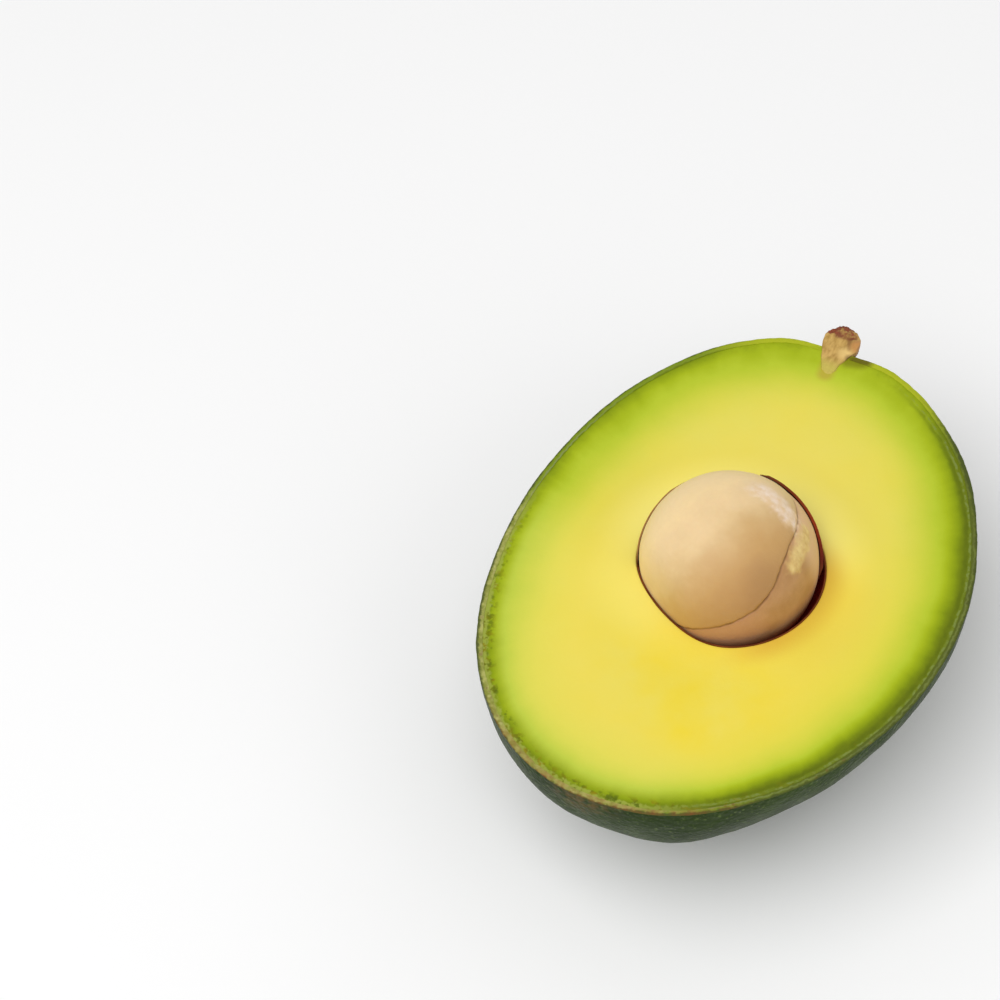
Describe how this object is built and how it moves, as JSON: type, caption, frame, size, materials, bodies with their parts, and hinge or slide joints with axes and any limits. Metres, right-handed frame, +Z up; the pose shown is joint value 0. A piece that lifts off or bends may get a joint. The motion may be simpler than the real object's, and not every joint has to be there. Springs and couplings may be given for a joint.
{
  "type": "halved avocado",
  "caption": "Smooth green-skinned avocado cut lengthwise, lying on its back: peel, flesh, loose round seed in its hollow, papery seed coat and stem button.",
  "frame": {"origin": "centre of the small flat spot on the peel's back that the half rests on", "axes": "+Z up, square to the cut face; +Y along the fruit towards the stem button; +X towards the fuller flank"},
  "size_m": [0.0844, 0.1176, 0.0557],
  "materials": {
    "peel": "satin, fine pale speckles, dark green",
    "flesh": "moist satin, yellow, turning green within 10 mm of the peel",
    "seed_coat": "dry matte, dark red-brown",
    "seed": "smooth satin, tan",
    "stem": "dry, rough, tan where cut and red-brown outside"
  },
  "bodies": {
    "root": {"peel": "peel", "flesh": "flesh", "seed_coat": "seed_coat", "seed": "seed", "stem_button": "stem"}
  },
  "joints": []
}
